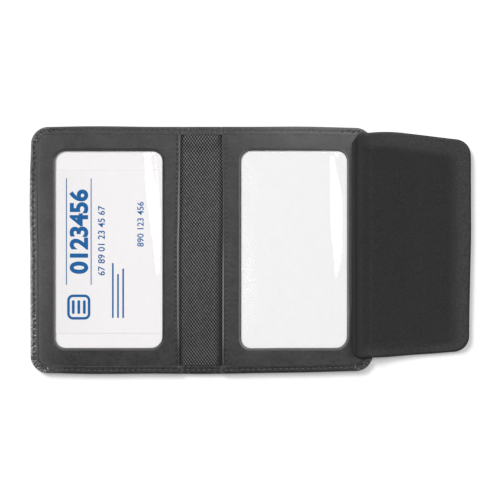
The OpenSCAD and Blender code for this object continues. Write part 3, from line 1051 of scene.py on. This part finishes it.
for side, name, node, body, material, bow in (
    (-1, "white_insert_left", "backing_card_left", "backing_card", PINKISH_CARD, 0.0),
    (1, "white_insert_right", "insert_card_right", "insert_card", WHITE_CARD, 0.08),
):
    solid, edge = card(side * WINDOW_X, WINDOW_Y, INSERT, CARD_T, INSERT_LOW + PUSH, bow)
    make_piece(name, solid, material, "white_card", (node,), body=body, shade=0.1 * edge)
solid, edge = card(-WINDOW_X, DISPLAY_Y, DISPLAY, DISPLAY_T, DISPLAY_LOW, 0.0)
x, y, _ = solid[0].T
make_piece(
    "printed_card_stock",
    solid,
    DISPLAY_CARD,
    "printed_card",
    ("display_card",),
    body="printed_card",
    shade=np.where(y > DISPLAY_Y, 0.32, 0.0) * edge + 0.05 * fall(x, -78, -48),
)


# The card's print: plain numbers, bars and a box, all turned a quarter

INK_LOW = DISPLAY_LOW + DISPLAY_T - 0.005
INK_TOP = INK_LOW + 0.02


def inked(loops, keep):
    xy, triangles, _ = triangulated(loops, np.empty((0, 2)), keep)
    return plate(xy, INK_TOP, INK_LOW, triangles)


def bar(x, y, w, h, r=0.2):
    loop = box_loop(x, y, w, h, r, 1.0)
    return inked([loop], lambda u, v: box_depth(u - x, v - y, w / 2, h / 2, r) > -0.005)


def frame_box(x, y, w, h, r, line):
    """The outline of a rounded box, drawn with a broad line."""
    iw, ih, ir = w - 2 * line, h - 2 * line, r - line
    return inked(
        [box_loop(x, y, w, h, r, 0.4), box_loop(x, y, iw, ih, ir, 0.4)],
        lambda u, v: (box_depth(u - x, v - y, w / 2, h / 2, r) > -0.005)
        & (box_depth(u - x, v - y, iw / 2, ih / 2, ir) < 0.005),
    )


def numbers(text, x, y, height, bold):
    """A row of plain digits that reads upwards, centred on (x, y)."""
    curve = bpy.data.curves.new("numbers", "FONT")
    curve.body = text
    curve.size = height / 0.72 * MM
    curve.offset = bold * MM
    curve.extrude = (INK_TOP - INK_LOW) / 2 * MM
    curve.align_x = "CENTER"
    curve.resolution_u = 6
    carrier = bpy.data.objects.new("numbers", curve)
    bpy.context.scene.collection.objects.link(carrier)
    bpy.context.view_layer.update()
    mesh = carrier.evaluated_get(bpy.context.evaluated_depsgraph_get()).to_mesh()
    flat = np.array([v.co for v in mesh.vertices]) / MM
    faces = [tuple(p.vertices) for p in mesh.polygons]
    bpy.data.objects.remove(carrier)
    middle = (flat[:, 1].min() + flat[:, 1].max()) / 2
    return np.c_[x - (flat[:, 1] - middle), y + flat[:, 0], (INK_LOW + INK_TOP) / 2 + flat[:, 2]], faces


parts = [
    bar(-60.0, 10.0, 0.5, 58.0),
    bar(-73.4, 10.0, 0.5, 58.0),
    numbers("0123456", -66.7, 10.0, 9.4, 0.5),
    frame_box(-66.7, -31.0, 12.6, 13.6, 3.2, 1.4),
    *(bar(-69.7 + 3.0 * k, -31.0, 1.5, 7.4, 0.4) for k in range(3)),
    numbers("67 89 01 23 45 67", -54.4, 5.0, 3.7, 0.07),
    *(bar(-48.2 + 2.8 * k, -37.0 + h / 2, 0.9, h, 0.3) for k, h in enumerate((30.0, 24.0, 27.0))),
    numbers("890 123 456", -33.2, 14.0, 3.5, 0.06),
]
make_piece("card_print", joined(parts), INK, "printed_card", body="printed_card")


# Stitches

STITCH_SIDES = 10
STITCH_RINGS = 11
SLANT = 0.13  # of the edge's stitches, in radians


def stitch_row(places, pitch, share=0.8, radius=THREAD_R, sink=0.3):
    """Threads that dive in at both ends, each a two-ply strand, as one solid per place.

    A place is x, y, z and the direction in radians.
    """
    t = np.linspace(-1, 1, STITCH_RINGS)[:, None]
    round_it = np.linspace(0, 2 * math.pi, STITCH_SIDES, endpoint=False)
    along = t * pitch * share / 2
    thick = radius * (1 - np.abs(t) ** 5 * 0.75) * (1 + 0.16 * np.cos(2 * (round_it - 2.2 * along)))
    up = thick * np.sin(round_it) * 0.9 - sink * np.abs(t) ** 4
    local = np.stack([along + 0 * up, thick * np.cos(round_it), up], -1).reshape(-1, 3)
    end = (STITCH_RINGS - 1) * STITCH_SIDES
    ring = range(STITCH_SIDES)
    faces = [
        (i + j, i + (j + 1) % STITCH_SIDES, i + STITCH_SIDES + (j + 1) % STITCH_SIDES, i + STITCH_SIDES + j)
        for i in range(0, end, STITCH_SIDES)
        for j in ring
    ]
    faces += [tuple(reversed(ring)), tuple(end + j for j in ring)]
    parts = []
    for x, y, z, turn in places:
        c, s = math.cos(turn), math.sin(turn)
        parts.append((local @ np.array([[c, s, 0], [-s, c, 0], [0, 0, 1]]) + (x, y, z), faces))
    return parts


path, normal, run, _ = edge_path()
count = int(run[-1] // EDGE_PITCH)
middles = (np.arange(count) + 0.5) * run[-1] / count
x, y, nx, ny = (np.interp(middles, run, v) for v in (*(path + SEAM_INSET * normal).T, *normal.T))
turn = np.arctan2(-nx, ny)
above = stitch_row(zip(x, y, hem_height(x) - 0.04, turn + SLANT), EDGE_PITCH)
under = stitch_row(zip(x, y, np.full(count, THREAD_R + 0.03), turn), EDGE_PITCH, 0.78, 0.2, -0.2)
for side, word, points, faces in halves(joined(above + under)):
    make_piece(
        f"edge_seam_{word}",
        (settled(points), faces),
        THREAD,
        "thread",
        (f"edge_stitching_{word}", "edge_stitching_spine"),
        bend=fold_bend(side),
    )

for (side, word), sunk in zip(SIDES, (0.16, 0.02)):
    seam_x = side * (MOUTH_X + MOUTH_INSET)
    places = [(seam_x, k * MOUTH_PITCH, FRAME_TOP - sunk, math.pi / 2) for k in range(-22, 23)]
    points, faces = joined(stitch_row(places, MOUTH_PITCH, radius=0.2))
    make_piece(
        f"mouth_seam_{word}",
        (settled(bowed(points, side)), faces),
        THREAD,
        "thread",
        (f"slot_stitching_{word}",),
        body=f"{word}_panel",
    )


# The badge flap

FELT_SETBACK = 0.32
ROOT_SKIVE = 2.0  # the root's edge thins out over this width
SKIVED = 0.72  # the share of the leather's thickness that is gone there


def flap_loop(d):
    """The flap's outline from above, drawn in by d."""
    low, high = d - FLAP_DOWN, FLAP_UP - d
    corners = [
        (d - ROOT_W, low, 5),
        (FLAP_SHOULDER, low, 90),
        (FLAP_W - d - 1.2, low + FLAP_LOWER_TAPER, 8.8),
        (FLAP_W - d, high - FLAP_UPPER_TAPER, 8.5),
        (FLAP_SHOULDER, high, 80),
        (d - 0.9, high - 1.4, 2.5),
        (d - ROOT_W, high - 6.4, 1.5),
    ]
    along = math.sqrt(1 / (1 + FLAP_SLOPE**2))
    return rounded_loop([(CREASE_X + along * u, v, r) for u, v, r in corners], 0.6)


def board_reach(u):
    """The stiffener board's place across the flap, its lower and upper edges there, and its end."""
    u = u * math.sqrt(1 + FLAP_SLOPE**2)
    end = FLAP_W - BORDER_SIDE
    taper = np.clip((u - FLAP_SHOULDER) / (end - FLAP_SHOULDER), 0, 1.15)
    low = BORDER_DOWN - FLAP_DOWN + FLAP_LOWER_TAPER * taper
    high = FLAP_UP - BORDER_UP - FLAP_UPPER_TAPER * taper
    return u, low, high, end


def flap_base(u, y):
    """The leather's outer face: on the frame at the root, and down to the table past the crease.

    Beyond the stiffener board the long borders sag and the free edge curls up a little.
    """
    root = FRAME_TOP + 0.02
    curl = 2.4 * smooth(u, FLAP_W - 12.0, FLAP_W + 3.0)
    _, low, high, _ = board_reach(u)
    sag = 0.9 * smooth(u, 8, 17) * fall(u, 31, 48)
    sag = sag * (smooth(low - y, 0.0, 6.0) + smooth(y - high, 0.0, 8.0))
    return root + (FLAP_BASE - u * FLAP_SLOPE - root) * smooth(u, -1.7, 1.5) + curl - sag


def flap_sheet(drawn_in):
    """One layer of the flap seen from above: points, triangles and edge distances."""
    loop = flap_loop(drawn_in)
    rings = [moved_in(loop, d) for d in (0.12, 0.28, 0.5, 0.8, 1.2, 1.7, 2.4)]
    columns = [np.arange(CREASE_X - 3.8, CREASE_X + 5, 0.35), np.arange(CREASE_X + 5.5, 144, 0.9)]
    points = grid(np.concatenate(columns), np.arange(-57.5, 63, 0.9))
    points = points[inside_loop(loop, *points.T) & (loop_depth(loop, points) > 3.0)]
    xy, triangles, _ = triangulated([loop], np.vstack([*rings, points]), lambda u, v: inside_loop(loop, u, v))
    return xy, triangles, loop_depth(loop, xy)


def shaped(points):
    """The flap's lower edge is drawn in a little, and its upper and free edges bulge."""
    x, y, z = points.T
    lower = 0.55 * bell(x, 107, 17) * smooth(-y, 10, FLAP_DOWN)
    bulge = 0.45 * bell(y, 8, 18) - 0.3 * smooth(y, 43, 56)
    return np.c_[x + bulge * smooth(x, 120, 146), y + lower + 0.3 * smooth(y, 40, 58), z]


def plateau(u, y, soft, left=True):
    """1 over the stiffener board and 0 along the flap's border."""
    u, low, high, end = board_reach(u)
    shape = fall(u, end - soft, end + soft) * fall(y, high - soft, high + soft)
    shape = shape * smooth(y, low - soft, low + soft)
    return shape * smooth(u, BORDER_CREASE - 0.1, BORDER_CREASE + 1.9) if left else shape


FLAP_BEND = (
    "right_panel",
    "badge_flap",
    ((CREASE_X - 1.2) * MM, 0, FLAP_BASE * MM),
    ((CREASE_X + 2.0) * MM, 0, FLAP_BASE * MM),
)

xy, triangles, depth = flap_sheet(0.0)
x, y = xy.T
u = x - CREASE_X
base = flap_base(u, y)
thin = fall(u, -ROOT_W, ROOT_SKIVE - ROOT_W)
rounding = 0.3 * fall(depth, 0, 0.5) * (1 - thin)
swell = 0.03 * ripple(x, y, 12, 71)
leather_top = base + FLAP_LEATHER_T * (1 - SKIVED * thin) - rounding
leather_low = base + rounding * 0.8 + np.maximum(swell, 0) * smooth(u, 2, 9)
points, faces = plate(xy, leather_top, leather_low, triangles)
make_piece(
    "flap_leather_skin",
    (shaped(points), faces),
    FLAP_LEATHER,
    "flap_leather",
    ("flap_leather", "flap_root_leather"),
    bend=FLAP_BEND,
    worn=(0.12 + 0.25 * smooth(u, 39, 54)) * bell(depth, 0.0, 0.35) * smooth(u, -1, 3),
    shade=(0.2 + 0.4 * smooth(-y, -20, 30)) * fall(u, -1, 2),
)

xy, triangles, depth = flap_sheet(FELT_SETBACK)
x, y = xy.T
u = x - CREASE_X
base = flap_base(u, y)
thick = ROOT_FELT_T + (FELT_T - ROOT_FELT_T) * smooth(u, -1.0, 2.0)
felt_low = base + FLAP_LEATHER_T * (1 - SKIVED * fall(u, -ROOT_W, ROOT_SKIVE - ROOT_W))
felt_low = felt_low + 0.01 + (BOARD_T + 0.01) * plateau(u, y, 0.3)
edge_fall = (thick - 0.15) * fall(depth, 0.0, 0.9) ** 1.5
groove = 0.3 * bell(x, ROOT_SEAM_X, 0.5) - 0.07 * bell(u, -0.7, 0.4)
crumple = 0.035 * ripple(x, y, 5.5, 81) + 0.03 * ripple(x, y, 2.2, 82)
felt_top = base + FLAP_LEATHER_T + thick + BOARD_T * plateau(u, y, 1.6) - edge_fall - groove
felt_top = felt_top + crumple * smooth(depth, 0.3, 2)
felt_top = felt_top - (FLAP_LEATHER_T * SKIVED + 0.1) * fall(u, -ROOT_W, ROOT_SKIVE + 0.6 - ROOT_W)
points, faces = plate(xy, np.maximum(felt_top, felt_low + 0.12), felt_low, triangles)
border = 1 - plateau(u + 1.2, y, 3.6, left=False)
border = border * (0.68 + 0.32 * np.maximum(smooth(x, 130, 146), smooth(np.abs(y), 48, 55)))
border = border * smooth(u, -1.5, 6)
felt = make_piece(
    "flap_felt_skin",
    (shaped(points), faces),
    FELT,
    "felt",
    ("flap_felt", "flap_root_felt"),
    bend=FLAP_BEND,
    border=np.maximum(border, 0.15 * fall(depth, 0.0, 1.3) * fall(u, -2.4, -0.6)),
    shade=np.maximum(0.55 * bell(x, ROOT_SEAM_X, 1.1), 0.5 * fall(depth, 0.0, 1.1) * fall(u, -2.8, -0.8)),
)

level = FRAME_TOP + FLAP_LEATHER_T + ROOT_FELT_T - 0.52
seam_y = np.arange(6 - FLAP_DOWN, FLAP_UP - 8, EDGE_PITCH) + EDGE_PITCH / 2
make_piece(
    "root_seam",
    joined(stitch_row([(ROOT_SEAM_X, v, level, math.pi / 2) for v in seam_y], EDGE_PITCH, radius=0.2)),
    THREAD,
    "thread",
    ("flap_root_stitching",),
    body="right_panel",
)

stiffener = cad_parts["flap_stiffener"]
stiffener.data.materials.clear()
stiffener.data.materials.append(BOARD)


# The stage: a pale floor, soft daylight from the upper left, and the photograph's view
# The lamps' places and sizes are in metres

WORLD_LIGHT = 0.18
KEY_STRENGTH = 3.1
KEY_SIZE = 28.0  # degrees across
KEY_FROM = (-0.95, 1.1, 1.0)
FLOOR_LIFT = 0.23
FLOOR_SIZE = 2.5  # metres, from the middle to each side
WHITE = (1, 1, 1, 1)


def light_source(name, kind, energy, at, to=(0, 0, 0), **settings):
    lamp = bpy.data.lights.new(name, kind)
    lamp.energy = energy
    for key, value in settings.items():
        setattr(lamp, key, value)
    holder = bpy.data.objects.new(name, lamp)
    holder.location = at
    holder.rotation_euler = (Vector(to) - Vector(at)).to_track_quat("-Z", "Y").to_euler()
    bpy.context.scene.collection.objects.link(holder)
    return holder


def white_backdrop(graph, shader_for_light, white):
    """One shader for light's rays, and plain white where the camera sees it."""
    seen = graph.add("LightPath", output="Is Camera Ray")
    return graph.add("MixShader", {0: seen, 1: shader_for_light, 2: white})


def make_floor():
    g = material_graph("pale_floor")
    matt = g.add("BsdfDiffuse", {"Color": (0.92, 0.92, 0.92, 1)})
    lift = g.add("Emission", {"Color": WHITE, "Strength": FLOOR_LIFT})
    lifted = g.add("AddShader", {0: matt, 1: lift})
    mesh = bpy.data.meshes.new("floor")
    signs = ((-1, -1), (1, -1), (1, 1), (-1, 1))
    mesh.from_pydata([(i * FLOOR_SIZE, j * FLOOR_SIZE, -0.00005) for i, j in signs], [], [(0, 1, 2, 3)])
    mesh.materials.append(g.finish(white_backdrop(g, matt, lifted)))
    floor = bpy.data.objects.new("floor", mesh)
    bpy.context.scene.collection.objects.link(floor)


def make_world():
    world = bpy.data.worlds.new("studio")
    g = Graph(world)
    dim, white = (g.add("Background", {"Color": WHITE, "Strength": s}) for s in (WORLD_LIGHT, 1.0))
    g.finish(white_backdrop(g, dim, white), "World")
    bpy.context.scene.world = world


def make_camera():
    lens = bpy.data.cameras.new("view")
    lens.lens = LENS
    lens.sensor_width = SENSOR
    camera = bpy.data.objects.new("view", lens)
    distance = VIEW_W * LENS / SENSOR + HEM_TOP
    camera.location = (VIEW_X * MM, 0, distance * MM)
    bpy.context.scene.collection.objects.link(camera)
    bpy.context.scene.camera = camera


make_floor()
make_world()
make_camera()
key = light_source("key", "SUN", KEY_STRENGTH, KEY_FROM, angle=math.radians(KEY_SIZE))
key.visible_glossy = False  # the key gives no glare on the films
above_films = {"shape": "RECTANGLE", "size": 0.05, "size_y": 0.26}
light_source("strip", "AREA", 0.2, (-0.02, 0.04, 0.9), (-0.02, 0.04, 0), **above_films)
light_source("softbox", "AREA", 9.5, (0.1, 0.65, 1.9), (0.05, 0, 0), shape="RECTANGLE", size=0.7, size_y=0.7)
bpy.context.scene.view_settings.view_transform = "Standard"
